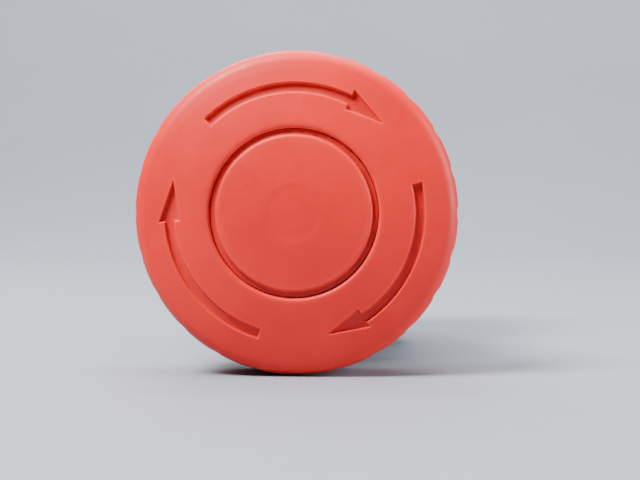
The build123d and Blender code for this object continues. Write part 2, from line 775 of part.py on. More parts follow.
def make_block_body(kind, x):
    half_x, half_z = BLOCK_HALF
    inside_back = COVER_FRONT + OVERSHOOT
    with BuildPart() as body:
        brick((x - half_x, x + half_x), (BLOCK_FRONT, BLOCK_BACK), (-half_z, half_z))
        fillet(body.edges().filter_by(Axis.Y), 0.8)
        brick(
            (x - half_x + COVER_RIM, x + half_x - COVER_RIM),
            (COVER_FRONT, BLOCK_BACK + 1),
            (-half_z + COVER_RIM, half_z - COVER_RIM),
            Mode.SUBTRACT,
        )
        brick(
            (x - CHAMBER_HALF[0], x + CHAMBER_HALF[0]),
            (BLOCK_FRONT + BLOCK_WALL, inside_back),
            (-CHAMBER_HALF[1], CHAMBER_HALF[1]),
            Mode.SUBTRACT,
        )
        rod(PLUNGER_R + 0.1, BLOCK_FRONT - 1, BLOCK_FRONT + 2, x, mode=Mode.SUBTRACT)
        for side in (-1, 1):
            pocket = sorted((side * TERMINAL_Z[0], side * TERMINAL_Z[1]))
            xs = (x - POCKET_HALF_X, x + POCKET_HALF_X)
            brick(xs, (TERMINAL_FLOOR, inside_back), pocket, Mode.SUBTRACT)
            riser = sorted((side * (CHAMBER_HALF[1] - 0.5), side * (RISER_Z + 0.2)))
            xs = (x - RISER_HALF_X, x + RISER_HALF_X)
            brick(xs, (BLOCK_FRONT + BLOCK_WALL, inside_back), riser, Mode.SUBTRACT)
            window = sorted((side * (TERMINAL_Z[1] - 0.5), side * (half_z + 1)))
            xs = (x - WIRE_WINDOW_HALF_X, x + WIRE_WINDOW_HALF_X)
            brick(xs, WIRE_WINDOW, window, Mode.SUBTRACT)
            hole = (SCREW_TIP - 1, TERMINAL_FLOOR + OVERSHOOT)
            rod(TERMINAL_SCREW_R + 0.3, *hole, x, side * SCREW_Z, Mode.SUBTRACT)
            xs = (x - HOOK_HALF_X, x + HOOK_HALF_X)
            hook = sorted((side * HOOK_Z, side * (HOOK_Z + HOOK_T)))
            brick(xs, (HOOK_FRONT, BLOCK_FRONT + 0.5), hook)
            barb = sorted((side * HOOK_Z, side * (HOOK_Z + HOOK_T + HOOK_BARB)))
            brick(xs, (HOOK_FRONT, BOX_PLATE_FRONT - FIT), barb)
    save(body.part, f"{kind}_body")


def make_block_cover(kind, x):
    half_x = BLOCK_HALF[0] - COVER_RIM - FIT
    half_z = BLOCK_HALF[1] - COVER_RIM - FIT
    with BuildPart() as cover:
        brick((x - half_x, x + half_x), (COVER_FRONT, BLOCK_BACK), (-half_z, half_z))
        chamfer(cover.faces().sort_by(Axis.Y)[-1].edges(), 0.3)
        for side in (-1, 1):
            rod(SCREW_ACCESS_R, COVER_FRONT - 1, BLOCK_BACK + 1, x, side * SCREW_Z, Mode.SUBTRACT)
        xs = (x - LABEL_HALF[0], x + LABEL_HALF[0])
        zs = (-LABEL_HALF[1], LABEL_HALF[1])
        brick(xs, (BLOCK_BACK - LABEL_DEPTH, BLOCK_BACK + 1), zs, Mode.SUBTRACT)
    save(cover.part, f"{kind}_cover")


def make_plunger(kind, x):
    half_x, half_z = FRAME_HALF
    with BuildPart() as plunger:
        rod(PLUNGER_R, BAR[1] + FIT, FRAME[0] + 0.5, x)
        chamfer(plunger.edges().sort_by(Axis.Y)[0], 0.4)
        brick((x - half_x, x + half_x), FRAME, (-half_z, half_z))
        rod(PLUNGER_STEM_R, FRAME[1] - 0.5, PLUNGER_BACK, x)
        brick((x - SLOT_HALF_X, x + SLOT_HALF_X), SLOT, (-5, 5), Mode.SUBTRACT)
    save(plunger.part, f"{kind}_plunger")


def make_bridge(kind, x):
    front = bridge_front(kind)
    half_x, half_z = BRIDGE_HALF
    with BuildPart() as bridge:
        brick((x - half_x, x + half_x), (front, front + BRIDGE_T), (-half_z, half_z))
        fillet(bridge.edges().filter_by(Axis.Y), 0.8)
    save(bridge.part, f"{kind}_bridge")


def make_bridge_tips(kind, x):
    front = bridge_front(kind) - TIP_T if kind == "nc" else bridge_front(kind) + BRIDGE_T
    with BuildPart() as tips:
        for z in (-TIP_Z, TIP_Z):
            rod(TIP_R, front, front + TIP_T, x, z)
    save(tips.part, f"{kind}_bridge_tips")


def make_contact_spring(kind, x):
    if kind == "nc":
        front, back = bridge_front(kind) + BRIDGE_T + FIT, SLOT[1] - FIT
    else:
        front, back = SLOT[0] + FIT, bridge_front(kind) - FIT
    spring = coil(CONTACT_SPRING_R, CONTACT_WIRE_R, front, back, 5, x)
    save(spring, f"{kind}_contact_spring")


def make_plunger_spring(kind, x):
    front, back = FRAME[1] + FIT, COVER_FRONT - FIT
    spring = coil(PLUNGER_SPRING_R, PLUNGER_WIRE_R, front, back, 4, x)
    save(spring, f"{kind}_plunger_spring")


def make_terminal(kind, x, side, name):
    """A strip from its fixed tip, up or down a riser, to the wire clamp. side is 1 for up."""
    front = strip_front(kind)
    floor = TERMINAL_FLOOR
    if kind == "nc":
        points = [
            (front, STRIP_INNER_Z),
            (front, RISER_Z),
            (floor, RISER_Z),
            (floor, STRIP_END_Z),
            (floor + STRIP_T, STRIP_END_Z),
            (floor + STRIP_T, RISER_Z - STRIP_T),
            (front + STRIP_T, RISER_Z - STRIP_T),
            (front + STRIP_T, STRIP_INNER_Z),
        ]
    else:
        points = [
            (front, STRIP_INNER_Z),
            (front, RISER_Z - STRIP_T),
            (floor, RISER_Z - STRIP_T),
            (floor, STRIP_END_Z),
            (floor + STRIP_T, STRIP_END_Z),
            (floor + STRIP_T, RISER_Z),
            (front + STRIP_T, RISER_Z),
            (front + STRIP_T, STRIP_INNER_Z),
        ]
    with BuildPart() as strip:
        with BuildSketch(Plane.YZ.offset(x)):
            with BuildLine():
                Polyline(*[(y, side * z) for y, z in points], close=True)
            make_face()
        extrude(amount=STRIP_WIDTH / 2, both=True)
        rod(TERMINAL_SCREW_R + FIT, floor - 1, floor + 2, x, side * SCREW_Z, Mode.SUBTRACT)
    save(strip.part, f"{kind}_terminal_{name}")


def make_fixed_tips(kind, x):
    front = strip_front(kind) + STRIP_T if kind == "nc" else strip_front(kind) - TIP_T
    with BuildPart() as tips:
        for z in (-TIP_Z, TIP_Z):
            rod(TIP_R, front, front + TIP_T, x, z)
    save(tips.part, f"{kind}_fixed_tips")


def make_terminal_screws(kind, x):
    seat = CLAMP_PLATE[1]
    with BuildPart() as screws:
        for z in (-SCREW_Z, SCREW_Z):
            rod(TERMINAL_SCREW_R, SCREW_TIP, seat + OVERSHOOT, x, z)
            rod(SCREW_HEAD_R, seat, seat + SCREW_HEAD_T, x, z)
            slot_y = (seat + SCREW_HEAD_T - SCREW_SLOT_DEPTH, seat + SCREW_HEAD_T + 1)
            slot_z = (z - SCREW_SLOT_HALF, z + SCREW_SLOT_HALF)
            brick((x - 3, x + 3), slot_y, slot_z, Mode.SUBTRACT)
    save(screws.part, f"{kind}_terminal_screws")


def make_clamp_plates(kind, x):
    half = CLAMP_PLATE_WIDTH / 2
    with BuildPart() as plates:
        for z in (-SCREW_Z, SCREW_Z):
            brick((x - half, x + half), CLAMP_PLATE, (z - half, z + half))
            hole = (CLAMP_PLATE[0] - 1, CLAMP_PLATE[1] + 1)
            rod(TERMINAL_SCREW_R + 0.1, *hole, x, z, Mode.SUBTRACT)
    save(plates.part, f"{kind}_clamp_plates")


def make_block(kind, x):
    make_block_body(kind, x)
    make_block_cover(kind, x)
    make_plunger(kind, x)
    make_bridge(kind, x)
    make_bridge_tips(kind, x)
    make_contact_spring(kind, x)
    make_plunger_spring(kind, x)
    make_terminal(kind, x, 1, "upper")
    make_terminal(kind, x, -1, "lower")
    make_fixed_tips(kind, x)
    make_terminal_screws(kind, x)
    make_clamp_plates(kind, x)


os.makedirs("parts", exist_ok=True)
make_cap()
make_cap_insert()
make_cap_screw()
make_spindle()
make_e_clip()
make_torsion_spring()
make_pusher()
make_return_spring()
make_spring_retainer()
make_push_bar()
make_housing()
make_shaft_seal()
make_latch_carrier()
make_latch_spring()
make_latch_cover()
make_panel_gasket()
make_lock_nut()
make_contact_carrier()
make_carrier_screw()
make_block("nc", -BLOCK_X)
make_block("no", BLOCK_X)
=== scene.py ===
import bmesh
import bpy
import json
import math
import numpy as np
from mathutils import Matrix, Vector


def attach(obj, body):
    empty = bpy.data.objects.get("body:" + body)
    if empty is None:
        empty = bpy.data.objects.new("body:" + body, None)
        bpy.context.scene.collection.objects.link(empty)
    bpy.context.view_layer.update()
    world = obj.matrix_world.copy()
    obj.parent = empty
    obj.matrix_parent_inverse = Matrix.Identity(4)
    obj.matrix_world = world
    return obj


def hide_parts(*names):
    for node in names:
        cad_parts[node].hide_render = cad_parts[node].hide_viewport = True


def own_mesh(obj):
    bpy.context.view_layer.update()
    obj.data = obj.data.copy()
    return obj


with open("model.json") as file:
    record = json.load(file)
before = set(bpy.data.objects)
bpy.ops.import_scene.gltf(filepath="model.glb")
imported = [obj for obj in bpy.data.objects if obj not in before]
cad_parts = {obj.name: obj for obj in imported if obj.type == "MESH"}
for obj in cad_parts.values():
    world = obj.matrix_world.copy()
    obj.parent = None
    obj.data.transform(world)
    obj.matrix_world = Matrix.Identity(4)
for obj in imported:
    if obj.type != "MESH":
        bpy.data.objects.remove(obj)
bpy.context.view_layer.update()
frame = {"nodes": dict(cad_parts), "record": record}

# Emergency stop button. Lengths below are in millimetres and are turned into metres by MM.
# The button's axis lies along Y with the head towards -Y. Angles run anticlockwise from +X,
# seen from the front.
MM = 0.001
UP = Vector((0, 0, 1))
EDGE_ANGLE = 32
DRAWN = (1, 12, 1)

# Head
CAP_R = 20.0
CAP_FRONT = -28.0
DOME_R = 70.0
SHOULDER_R = 2.0
SKIRT_BACK = -14.5
SKIRT_DRAFT = 0.15
SKIRT_INNER_R = 18.3
SHOULDER_SETBACK = 0.78
INNER_DRAFT = 0.05
RIM_FILLET = 0.4
WEB_BACK = -22.9
WEB_FILLET = 1.2
HUB_R = 6.0
HUB_BACK = -18.5
HUB_CHAMFER = 0.3
HUB_FILLET = 0.6
SOCKET_R = 4.53
SOCKET_FRONT = -21.05
SOCKET_CHAMFER = (0.27, 0.25)
SCREW_HOLE_R = 1.65
RIBS = 6
RIB_BACK = -19.5
RIB_T = 1.1
LIP_Y = -26.4
POCKET_R = 10.25
POCKET_FLOOR = -25.3
EDGE_R = 0.45
SCREW_POCKET_R = 3.4
SCREW_SEAT = -22.3
COLUMNS = 1440
BARREL_COLUMNS = 240
FLUTES = 24
FLUTE_R = 1.2
FLUTE_CENTRE_R = 20.75
FLUTE_SOFT = 0.1
FLUTE_RUN_OUT = (-24.65, -23.3)
ARROWS = 3
ARROW_ZONE = (13.3, 17.2)
ARROW_ROWS = 60
ARROW_DEPTH = 0.55
ARROW_WALL = 0.16
TIP_ANGLE = 45.7
BASE_ANGLE = 63.7
TAIL_ANGLE = 133.5
SHAFT_RADII = (14.65, 15.8)
HEAD_RADII = (14.0, 16.5)
TIP_R = 15.2

# Centre insert
INSERT_R = 9.55
GROOVE_DEPTH = 0.55
CUP_R = 8.7
CUP_DEPTH = 1.2
BOSS_R = 3.3
BOSS_BORE_R = 2.2
BOSS_BACK = -24.6
SINK_DEPTH = 0.05
SINK_R = 2.8
SINK_SLOPE = 1.0
LEGS = 3
LEG_RADII = (7.0, 7.9)
BARB_RADII = (7.7, 8.35)
LEG_WIDTH = 3.0
LEG_BACK = -22.2
INSERT_FACE_Y = -26.9
INSERT_WALL_Y = -26.7

# Fitting and contact blocks
BUSH_R = 4.56
BUSH = (-10.6, -6.3)
SEAL_POCKET_R = 6.3
TOWER_FRONT = -13.0
TOWER_R = 8.0
TOWER_ROUND = 0.5
TOWER_FOOT = 0.7
FLANGE_FRONT = -7.5
FLANGE_BACK = -1.2
FLANGE_R = 14.75
FLANGE_ROUND = 2.85
BARREL_R = 11.0
BARREL_BACK = 20.0
BORE_R = 8.6
KEY_WIDTH = 3.0
KEY_Y = (-1.4, 2.5)
KEY_Z = (10.0, 12.7)
GUIDE_WIDTH = 1.5
GUIDE_Y = (2.0, 17.1)
GUIDE_RADII = (7.7, 8.8)
THREAD = (2.8, 19.7)
THREAD_PITCH = 1.0
THREAD_DEPTH = 0.55
THREAD_STEP = 0.1
BLOCK_X = 5.45
WELD = 0.002
RETURN_SPRING = {"mean_r": 6.8, "wire_r": 0.45, "limits": (6.55, 17.15), "turns": 6.0}
PLUNGER_SPRING = {"mean_r": 2.15, "wire_r": 0.22, "limits": (39.05, 45.95), "turns": 4.2}

# Camera and floor
LENS = 85.0
DISTANCE = 187.0
YAW = 4.7
PITCH = 0.4
LOOK_RIGHT = 2.85
LOOK_DOWN = 3.35
LOOK_Y = -22.0
FLOOR_Z = -20.0
FLOOR_HALF_WIDTH = 4000.0
FLOOR_FRONT = -1500.0
FLOOR_REACH = 350.0
FLOOR_BEND = 700.0
FLOOR_RISE = 2500.0


# ---------------------------------------------------------------- mesh helpers


def link(name, mesh):
    piece = bpy.data.objects.new(name, mesh)
    bpy.context.scene.collection.objects.link(piece)
    return piece


def outward(mesh):
    """Turn all faces outwards."""
    work = bmesh.new()
    work.from_mesh(mesh)
    bmesh.ops.recalc_face_normals(work, faces=work.faces)
    work.to_mesh(mesh)
    work.free()


def soften(mesh, angle=EDGE_ANGLE):
    """Smooth shading with sharp edges kept."""
    mesh.shade_smooth()
    mesh.set_sharp_from_angle(angle=math.radians(angle))


def grid_mesh(name, points):
    """A closed surface from points of shape (rows, columns, 3) in mm that wraps both ways."""
    rows, columns = points.shape[:2]
    index = np.arange(rows * columns).reshape(rows, columns)
    right = np.roll(index, -1, axis=1)
    below = np.roll(index, -1, axis=0)
    corner = np.roll(right, -1, axis=0)
    faces = np.stack([index, right, corner, below], axis=-1).reshape(-1, 4)
    mesh = bpy.data.meshes.new(name)
    mesh.from_pydata((points.reshape(-1, 3) * MM).tolist(), [], faces.tolist())
    outward(mesh)
    return mesh


def around(profile, columns):
    """Points of a closed (radius, y) profile turned about the button's axis."""
    profile = np.array(profile, float)
    turn = np.linspace(0, 2 * math.pi, columns, endpoint=False)
    radius = profile[:, 0][:, None]
    x = radius * np.cos(turn)
    z = radius * np.sin(turn)
    y = np.repeat(profile[:, 1][:, None], columns, axis=1)
    return np.stack([x, y, z], axis=-1)


def arc(centre, radius, start, end, steps=6):
    """Profile points on a small arc, angles in degrees from +radius towards +y."""
    turns = [math.radians(start + (end - start) * i / steps) for i in range(steps + 1)]
    return [(centre[0] + radius * math.cos(t), centre[1] + radius * math.sin(t)) for t in turns]


def brick(name, xs, ys, zs):
    """A box mesh object between limits in mm."""
    work = bmesh.new()
    bmesh.ops.create_cube(work, size=1.0)
    size = Vector((xs[1] - xs[0], ys[1] - ys[0], zs[1] - zs[0])) * MM
    middle = Vector((sum(xs), sum(ys), sum(zs))) * MM / 2
    bmesh.ops.scale(work, vec=size, verts=work.verts)
    bmesh.ops.translate(work, vec=middle, verts=work.verts)
    mesh = bpy.data.meshes.new(name)
    work.to_mesh(mesh)
    work.free()
    return link(name, mesh)


def bake(piece):
    """Apply a piece's modifiers."""
    graph = bpy.context.evaluated_depsgraph_get()
    mesh = bpy.data.meshes.new_from_object(piece.evaluated_get(graph))
    piece.modifiers.clear()
    piece.data = mesh


def unite(piece, other):
    """Join another mesh object to a piece, which uses it up."""
    change = piece.modifiers.new("unite", "BOOLEAN")
    change.operation = "UNION"
    change.solver = "EXACT"
    change.object = other
    bake(piece)
    bpy.data.objects.remove(other)
    return piece


def ease(piece, width, segments=3):
    """Round a piece's edges by width mm."""
    bevel = piece.modifiers.new("edges", "BEVEL")
    bevel.width = width * MM
    bevel.segments = segments
    bevel.limit_method = "ANGLE"
    bevel.angle_limit = math.radians(EDGE_ANGLE)
    bevel.harden_normals = False
    bake(piece)
    soften(piece.data, 40)
    return piece


def join(name, pieces):
    """One object from several mesh objects."""
    work = bmesh.new()
    for piece in pieces:
        work.from_mesh(piece.data)
    mesh = bpy.data.meshes.new(name)
    work.to_mesh(mesh)
    work.free()
    for piece in pieces:
        bpy.data.objects.remove(piece)
    return link(name, mesh)


def finish_piece(piece, body, slot, nodes):
    """Give a piece its material, its body and the CAD nodes it stands for."""
    piece.data.materials.clear()
    piece.data.materials.append(MATERIALS[slot])
    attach(piece, body)
    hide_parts(*nodes)
    return piece


# ---------------------------------------------------------------- materials


class Shader:
    """A small wrapper round a node tree that keeps material functions readable."""

    def __init__(self, name):
        self.material = bpy.data.materials.new(name)
        self.material.use_nodes = True
        self.tree = self.material.node_tree
        self.bsdf = self.tree.nodes["Principled BSDF"]
        self.place = self.tree.nodes.new("ShaderNodeTexCoord").outputs["Object"]

    def link(self, output, target):
        self.tree.links.new(output, target)

    def noise(self, size, detail=3.0, stretch=(1, 1, 1), roughness=0.55):
        """Noise with features about size mm across."""
        mapping = self.tree.nodes.new("ShaderNodeMapping")
        mapping.inputs["Scale"].default_value = [s / (size * MM) for s in stretch]
        noise = self.tree.nodes.new("ShaderNodeTexNoise")
        noise.inputs["Scale"].default_value = 1.0
        noise.inputs["Detail"].default_value = detail
        noise.inputs["Roughness"].default_value = roughness
        self.link(self.place, mapping.inputs["Vector"])
        self.link(mapping.outputs["Vector"], noise.inputs["Vector"])
        return noise.outputs["Fac"]

    def ramp(self, value, low, high, out_low=0.0, out_high=1.0):
        spread = self.tree.nodes.new("ShaderNodeMapRange")
        spread.inputs["From Min"].default_value = low
        spread.inputs["From Max"].default_value = high
        spread.inputs["To Min"].default_value = out_low
        spread.inputs["To Max"].default_value = out_high
        self.link(value, spread.inputs["Value"])
        return spread.outputs["Result"]

    def mix(self, amount, first, second):
        """Mix two colours, each a tuple or an output."""
        blend = self.tree.nodes.new("ShaderNodeMix")
        blend.data_type = "RGBA"
        self.link(amount, blend.inputs[0])
        for colour, socket in ((first, blend.inputs[6]), (second, blend.inputs[7])):
            if isinstance(colour, tuple):
                socket.default_value = (*colour, 1)
            else:
                self.link(colour, socket)
        return blend.outputs[2]

    def times(self, first, second):
        """Product of two values, each a number or an output."""
        maths = self.tree.nodes.new("ShaderNodeMath")
        maths.operation = "MULTIPLY"
        for value, socket in ((first, maths.inputs[0]), (second, maths.inputs[1])):
            if isinstance(value, (int, float)):
                socket.default_value = value
            else:
                self.link(value, socket)
        return maths.outputs[0]

    def attribute(self, name):
        found = self.tree.nodes.new("ShaderNodeAttribute")
        found.attribute_name = name
        return found.outputs["Fac"]

    def bump(self, height, depth, strength=1.0, under=None):
        """Bump of depth mm, over another bump if given."""
        bump = self.tree.nodes.new("ShaderNodeBump")
        bump.inputs["Distance"].default_value = depth * MM
        bump.inputs["Strength"].default_value = strength
        self.link(height, bump.inputs["Height"])
        if under is not None:
            self.link(under, bump.inputs["Normal"])
        return bump.outputs["Normal"]

    def close(self, colour, roughness, normal, **sockets):
        self.link(colour, self.bsdf.inputs["Base Color"])
        self.link(roughness, self.bsdf.inputs["Roughness"])
        self.link(normal, self.bsdf.inputs["Normal"])
        for name, value in sockets.items():
            self.bsdf.inputs[name.replace("_", " ")].default_value = value
        return self.material


def plastic(name, colour, pale, rough=(0.36, 0.5), scuff=0.25):
    """Moulded plastic: cloudy colour, a fine spark-eroded grain, and faint scuffs of a paler tone."""
    s = Shader(name)
    dark = tuple(c * 0.86 for c in colour)
    clouds = s.ramp(s.noise(9.0, 4.0), 0.35, 0.68)
    tone = s.mix(clouds, dark, colour)
    scratches = s.ramp(s.noise(2.2, 8.0, (1, 1, 7), 0.7), 0.62, 0.78, 0.0, scuff)
    dust = s.ramp(s.noise(0.35, 2.0), 0.70, 0.80, 0.0, scuff * 0.6)
    tone = s.mix(scratches, tone, pale)
    tone = s.mix(dust, tone, pale)
    roughness = s.ramp(s.noise(1.6, 6.0), 0.3, 0.7, *rough)
    fine = s.bump(s.noise(0.09, 2.0), 0.006, 0.6)
    normal = s.bump(s.noise(2.5, 2.0), 0.012, 0.5, fine)
    return s.close(tone, roughness, normal, Specular_IOR_Level=0.5)


def head_plastic(name):
    """The head's satin red: slightly cloudy, with a fine matt grain; its edges are paler, partly wear and
    partly painted highlight, and its recesses are darker with painted shade.
    """
    s = Shader(name)
    deep = (0.62, 0.009, 0.008)
    warm = (0.74, 0.013, 0.010)
    # A paler red used for scratches, which are wear, and for edges, which are partly wear and partly painted
    # highlight.
    wear_and_highlight_tone = (0.86, 0.07, 0.05)
    clouds = s.ramp(s.noise(11.0, 5.0), 0.32, 0.70)
    tone = s.mix(clouds, deep, warm)
    # Paler edges: partly rubbed wear, partly a painted highlight where rounded edges catch light.
    wear_and_highlight = s.times(s.attribute("wear_and_highlight"), s.ramp(s.noise(0.9, 5.0), 0.25, 0.75, 0.15, 0.75))
    tone = s.mix(wear_and_highlight, tone, wear_and_highlight_tone)
    scratches = s.ramp(s.noise(1.7, 9.0, (1, 1, 9), 0.75), 0.64, 0.82, 0.0, 0.18)
    tone = s.mix(scratches, tone, wear_and_highlight_tone)
    # Painted shade: a darker red laid into the arrow recesses and the groove round the centre disc, where
    # shade falls.
    painted_recess_shade = s.times(s.attribute("painted_recess_shade"), s.ramp(s.noise(1.2, 5.0), 0.3, 0.7, 0.35, 0.9))
    tone = s.mix(painted_recess_shade, tone, (0.22, 0.006, 0.010))
    roughness = s.ramp(s.noise(1.3, 7.0), 0.28, 0.72, 0.42, 0.54)
    fine = s.bump(s.noise(0.11, 3.0), 0.006, 0.55)
    normal = s.bump(s.noise(3.0, 2.0), 0.010, 0.5, fine)
    return s.close(
        tone,
        roughness,
        normal,
        Specular_IOR_Level=0.32,
        Subsurface_Weight=0.04,
        Subsurface_Scale=0.0006,
    )


def rubber(name):
    """Matt black rubber with bloom and a coarse grain."""
    s = Shader(name)
    tone = s.mix(s.ramp(s.noise(3.0, 5.0), 0.35, 0.7), (0.012, 0.012, 0.013), (0.035, 0.035, 0.036))
    roughness = s.ramp(s.noise(1.0, 5.0), 0.3, 0.7, 0.62, 0.85)
    normal = s.bump(s.noise(0.16, 3.0), 0.02, 0.7)
    return s.close(tone, roughness, normal, Specular_IOR_Level=0.4)


def metal(name, colour, tarnish, rough=(0.22, 0.4), size=0.5):
    """Drawn, turned or stamped metal: fine lines one way, patches of tarnish."""
    s = Shader(name)
    patches = s.ramp(s.noise(3.5, 6.0), 0.38, 0.72, 0.0, 0.8)
    lines = s.ramp(s.noise(size, 4.0, DRAWN), 0.3, 0.7)
    tone = s.mix(patches, colour, tarnish)
    tone = s.mix(s.times(lines, 0.18), tone, tuple(c * 0.7 for c in colour))
    roughness = s.ramp(s.noise(size, 5.0, DRAWN), 0.3, 0.7, *rough)
    normal = s.bump(lines, 0.004, 0.5)
    return s.close(tone, roughness, normal, Metallic=1.0)


MATERIALS = {
    "red_plastic": head_plastic("red_plastic"),
    "black_plastic": plastic("black_plastic", (0.022, 0.022, 0.024), (0.11, 0.11, 0.11), (0.34, 0.5)),
    "grey_plastic": plastic("grey_plastic", (0.50, 0.51, 0.52), (0.66, 0.66, 0.66), (0.34, 0.48), scuff=0.2),
    "cover_plastic": plastic("cover_plastic", (0.085, 0.09, 0.095), (0.22, 0.22, 0.22), (0.38, 0.52)),
    "natural_plastic": plastic("natural_plastic", (0.74, 0.70, 0.60), (0.84, 0.82, 0.76), (0.3, 0.44)),
    "red_plunger": plastic("red_plunger", (0.52, 0.03, 0.025), (0.7, 0.25, 0.2), (0.3, 0.42)),
    "green_plunger": plastic("green_plunger", (0.03, 0.30, 0.07), (0.25, 0.5, 0.3), (0.3, 0.42)),
    "rubber": rubber("rubber"),
    "zinc_steel": metal("zinc_steel", (0.66, 0.67, 0.66), (0.48, 0.47, 0.42)),
    "spring_steel": metal("spring_steel", (0.50, 0.50, 0.49), (0.30, 0.29, 0.27), size=0.3),
    "copper_strip": metal("copper_strip", (0.80, 0.58, 0.27), (0.50, 0.33, 0.15)),
    "silver_tip": metal("silver_tip", (0.84, 0.83, 0.80), (0.60, 0.57, 0.50)),
}


# ---------------------------------------------------------------- head


def dome_y(radius, depth=0.0):
    """Y of the domed face at a radius, or of a surface that lies deeper by depth."""
    return CAP_FRONT + DOME_R - np.sqrt(DOME_R**2 - np.square(radius)) + depth


def smooth_step(value):
    value = np.clip(value, 0, 1)
    return value * value * (3 - 2 * value)


def head_profile():
    """Rows of the head, each (radius, y), once round its section from the pocket."""
    lip = (POCKET_R + EDGE_R, float(dome_y(POCKET_R + EDGE_R)) + EDGE_R)
    wall_r = CAP_R - SKIRT_DRAFT
    shoulder = (wall_r - SHOULDER_R, float(dome_y(wall_r - SHOULDER_R * SHOULDER_SETBACK)) + SHOULDER_R)
    face_in = np.linspace(lip[0] + 0.3, ARROW_ZONE[0], 8)
    face_arrows = np.linspace(*ARROW_ZONE, ARROW_ROWS + 1)[1:]
    face_out = np.linspace(ARROW_ZONE[1], shoulder[0], 4)[1:-1]
    rows = [(SCREW_POCKET_R, SCREW_SEAT), (SCREW_POCKET_R, POCKET_FLOOR)]
    rows += [(POCKET_R - 0.5, POCKET_FLOOR), (POCKET_R, POCKET_FLOOR), (POCKET_R, POCKET_FLOOR - 0.5)]
    rows += arc(lip, EDGE_R, 180, 270 - math.degrees(math.asin(lip[0] / DOME_R)), 7)
    rows += [(r, float(dome_y(r))) for r in (*face_in, *face_arrows, *face_out)]
    slope = math.degrees(math.asin(shoulder[0] / DOME_R))
    rows += arc(shoulder, SHOULDER_R, 270 + slope, 360, 16)
    wall_length = SKIRT_BACK - RIM_FILLET - shoulder[1]
    rows += [(wall_r + SKIRT_DRAFT * t, shoulder[1] + wall_length * t) for t in (0.2, 0.5, 0.8)]
    rows += arc((CAP_R - RIM_FILLET, SKIRT_BACK - RIM_FILLET), RIM_FILLET, 0, 90, 5)
    rows += arc((SKIRT_INNER_R + RIM_FILLET, SKIRT_BACK - RIM_FILLET), RIM_FILLET, 90, 180, 4)
    deep_r = SKIRT_INNER_R - 2 * INNER_DRAFT
    rows += [(SKIRT_INNER_R - INNER_DRAFT, -17.0), (deep_r, -20.0)]
    rows += arc((deep_r - WEB_FILLET, WEB_BACK + WEB_FILLET), WEB_FILLET, 0, -90, 6)
    rows += [(14.0, WEB_BACK), (10.0, WEB_BACK)]
    rows += arc((HUB_R + HUB_FILLET, WEB_BACK + HUB_FILLET), HUB_FILLET, 270, 180, 4)
    rows += [(HUB_R, HUB_BACK - HUB_CHAMFER), (HUB_R - HUB_CHAMFER, HUB_BACK)]
    rows += [(SOCKET_R + SOCKET_CHAMFER[0], HUB_BACK), (SOCKET_R, HUB_BACK - SOCKET_CHAMFER[1])]
    rows += [(SOCKET_R, SOCKET_FRONT), (SCREW_HOLE_R, SOCKET_FRONT), (SCREW_HOLE_R, SCREW_SEAT)]
    return np.array(rows)


def arrow_distance(radius, turn):
    """Signed distance in mm from the arrows' outline, negative inside, at polar points."""
    best = np.full(np.broadcast(radius, turn).shape, 99.0)
    middle_r = sum(SHAFT_RADII) / 2
    half_width = (SHAFT_RADII[1] - SHAFT_RADII[0]) / 2
    shaft_start = BASE_ANGLE - 2.0
    middle_angle = (shaft_start + TAIL_ANGLE) / 2
    half_length = math.radians(TAIL_ANGLE - shaft_start) / 2 * middle_r
    corners = [
        (HEAD_RADII[0], BASE_ANGLE),
        (TIP_R, TIP_ANGLE),
        (HEAD_RADII[1], BASE_ANGLE),
    ]
    points = [(r * math.cos(math.radians(a)), r * math.sin(math.radians(a))) for r, a in corners]
    for index in range(ARROWS):
        local = turn - 2 * math.pi / ARROWS * index
        local = (local - math.radians(middle_angle) + math.pi) % (2 * math.pi) - math.pi
        across = np.abs(radius - middle_r) - half_width
        along = np.abs(local * middle_r) - half_length
        outside = np.hypot(np.maximum(across, 0), np.maximum(along, 0))
        shaft = outside + np.minimum(np.maximum(across, along), 0)
        whole = local + math.radians(middle_angle)
        x = radius * np.cos(whole)
        z = radius * np.sin(whole)
        head = np.full_like(x, -99.0)
        for (ax, az), (bx, bz) in zip(points, points[1:] + points[:1]):
            length = math.hypot(bx - ax, bz - az)
            side = ((bz - az) * (x - ax) - (bx - ax) * (z - az)) / length
            head = np.maximum(head, side)
        best = np.minimum(best, np.minimum(shaft, head))
    return best


def flute_radius(turn):
    """Radius at which the flutes' round cutters lie, by angle."""
    step = 2 * math.pi / FLUTES
    offset = (turn + step / 2) % step - step / 2
    sideways = FLUTE_CENTRE_R * np.sin(offset)
    reach = np.sqrt(np.maximum(FLUTE_R**2 - sideways**2, 0))
    return FLUTE_CENTRE_R * np.cos(offset) - reach


def add_layers(mesh, layers):
    """Store numbers by vertex for the material to read."""
    for name, values in layers.items():
        layer = mesh.attributes.new(name, "FLOAT", "POINT")
        layer.data.foreach_set("value", values.astype(np.float32).ravel())


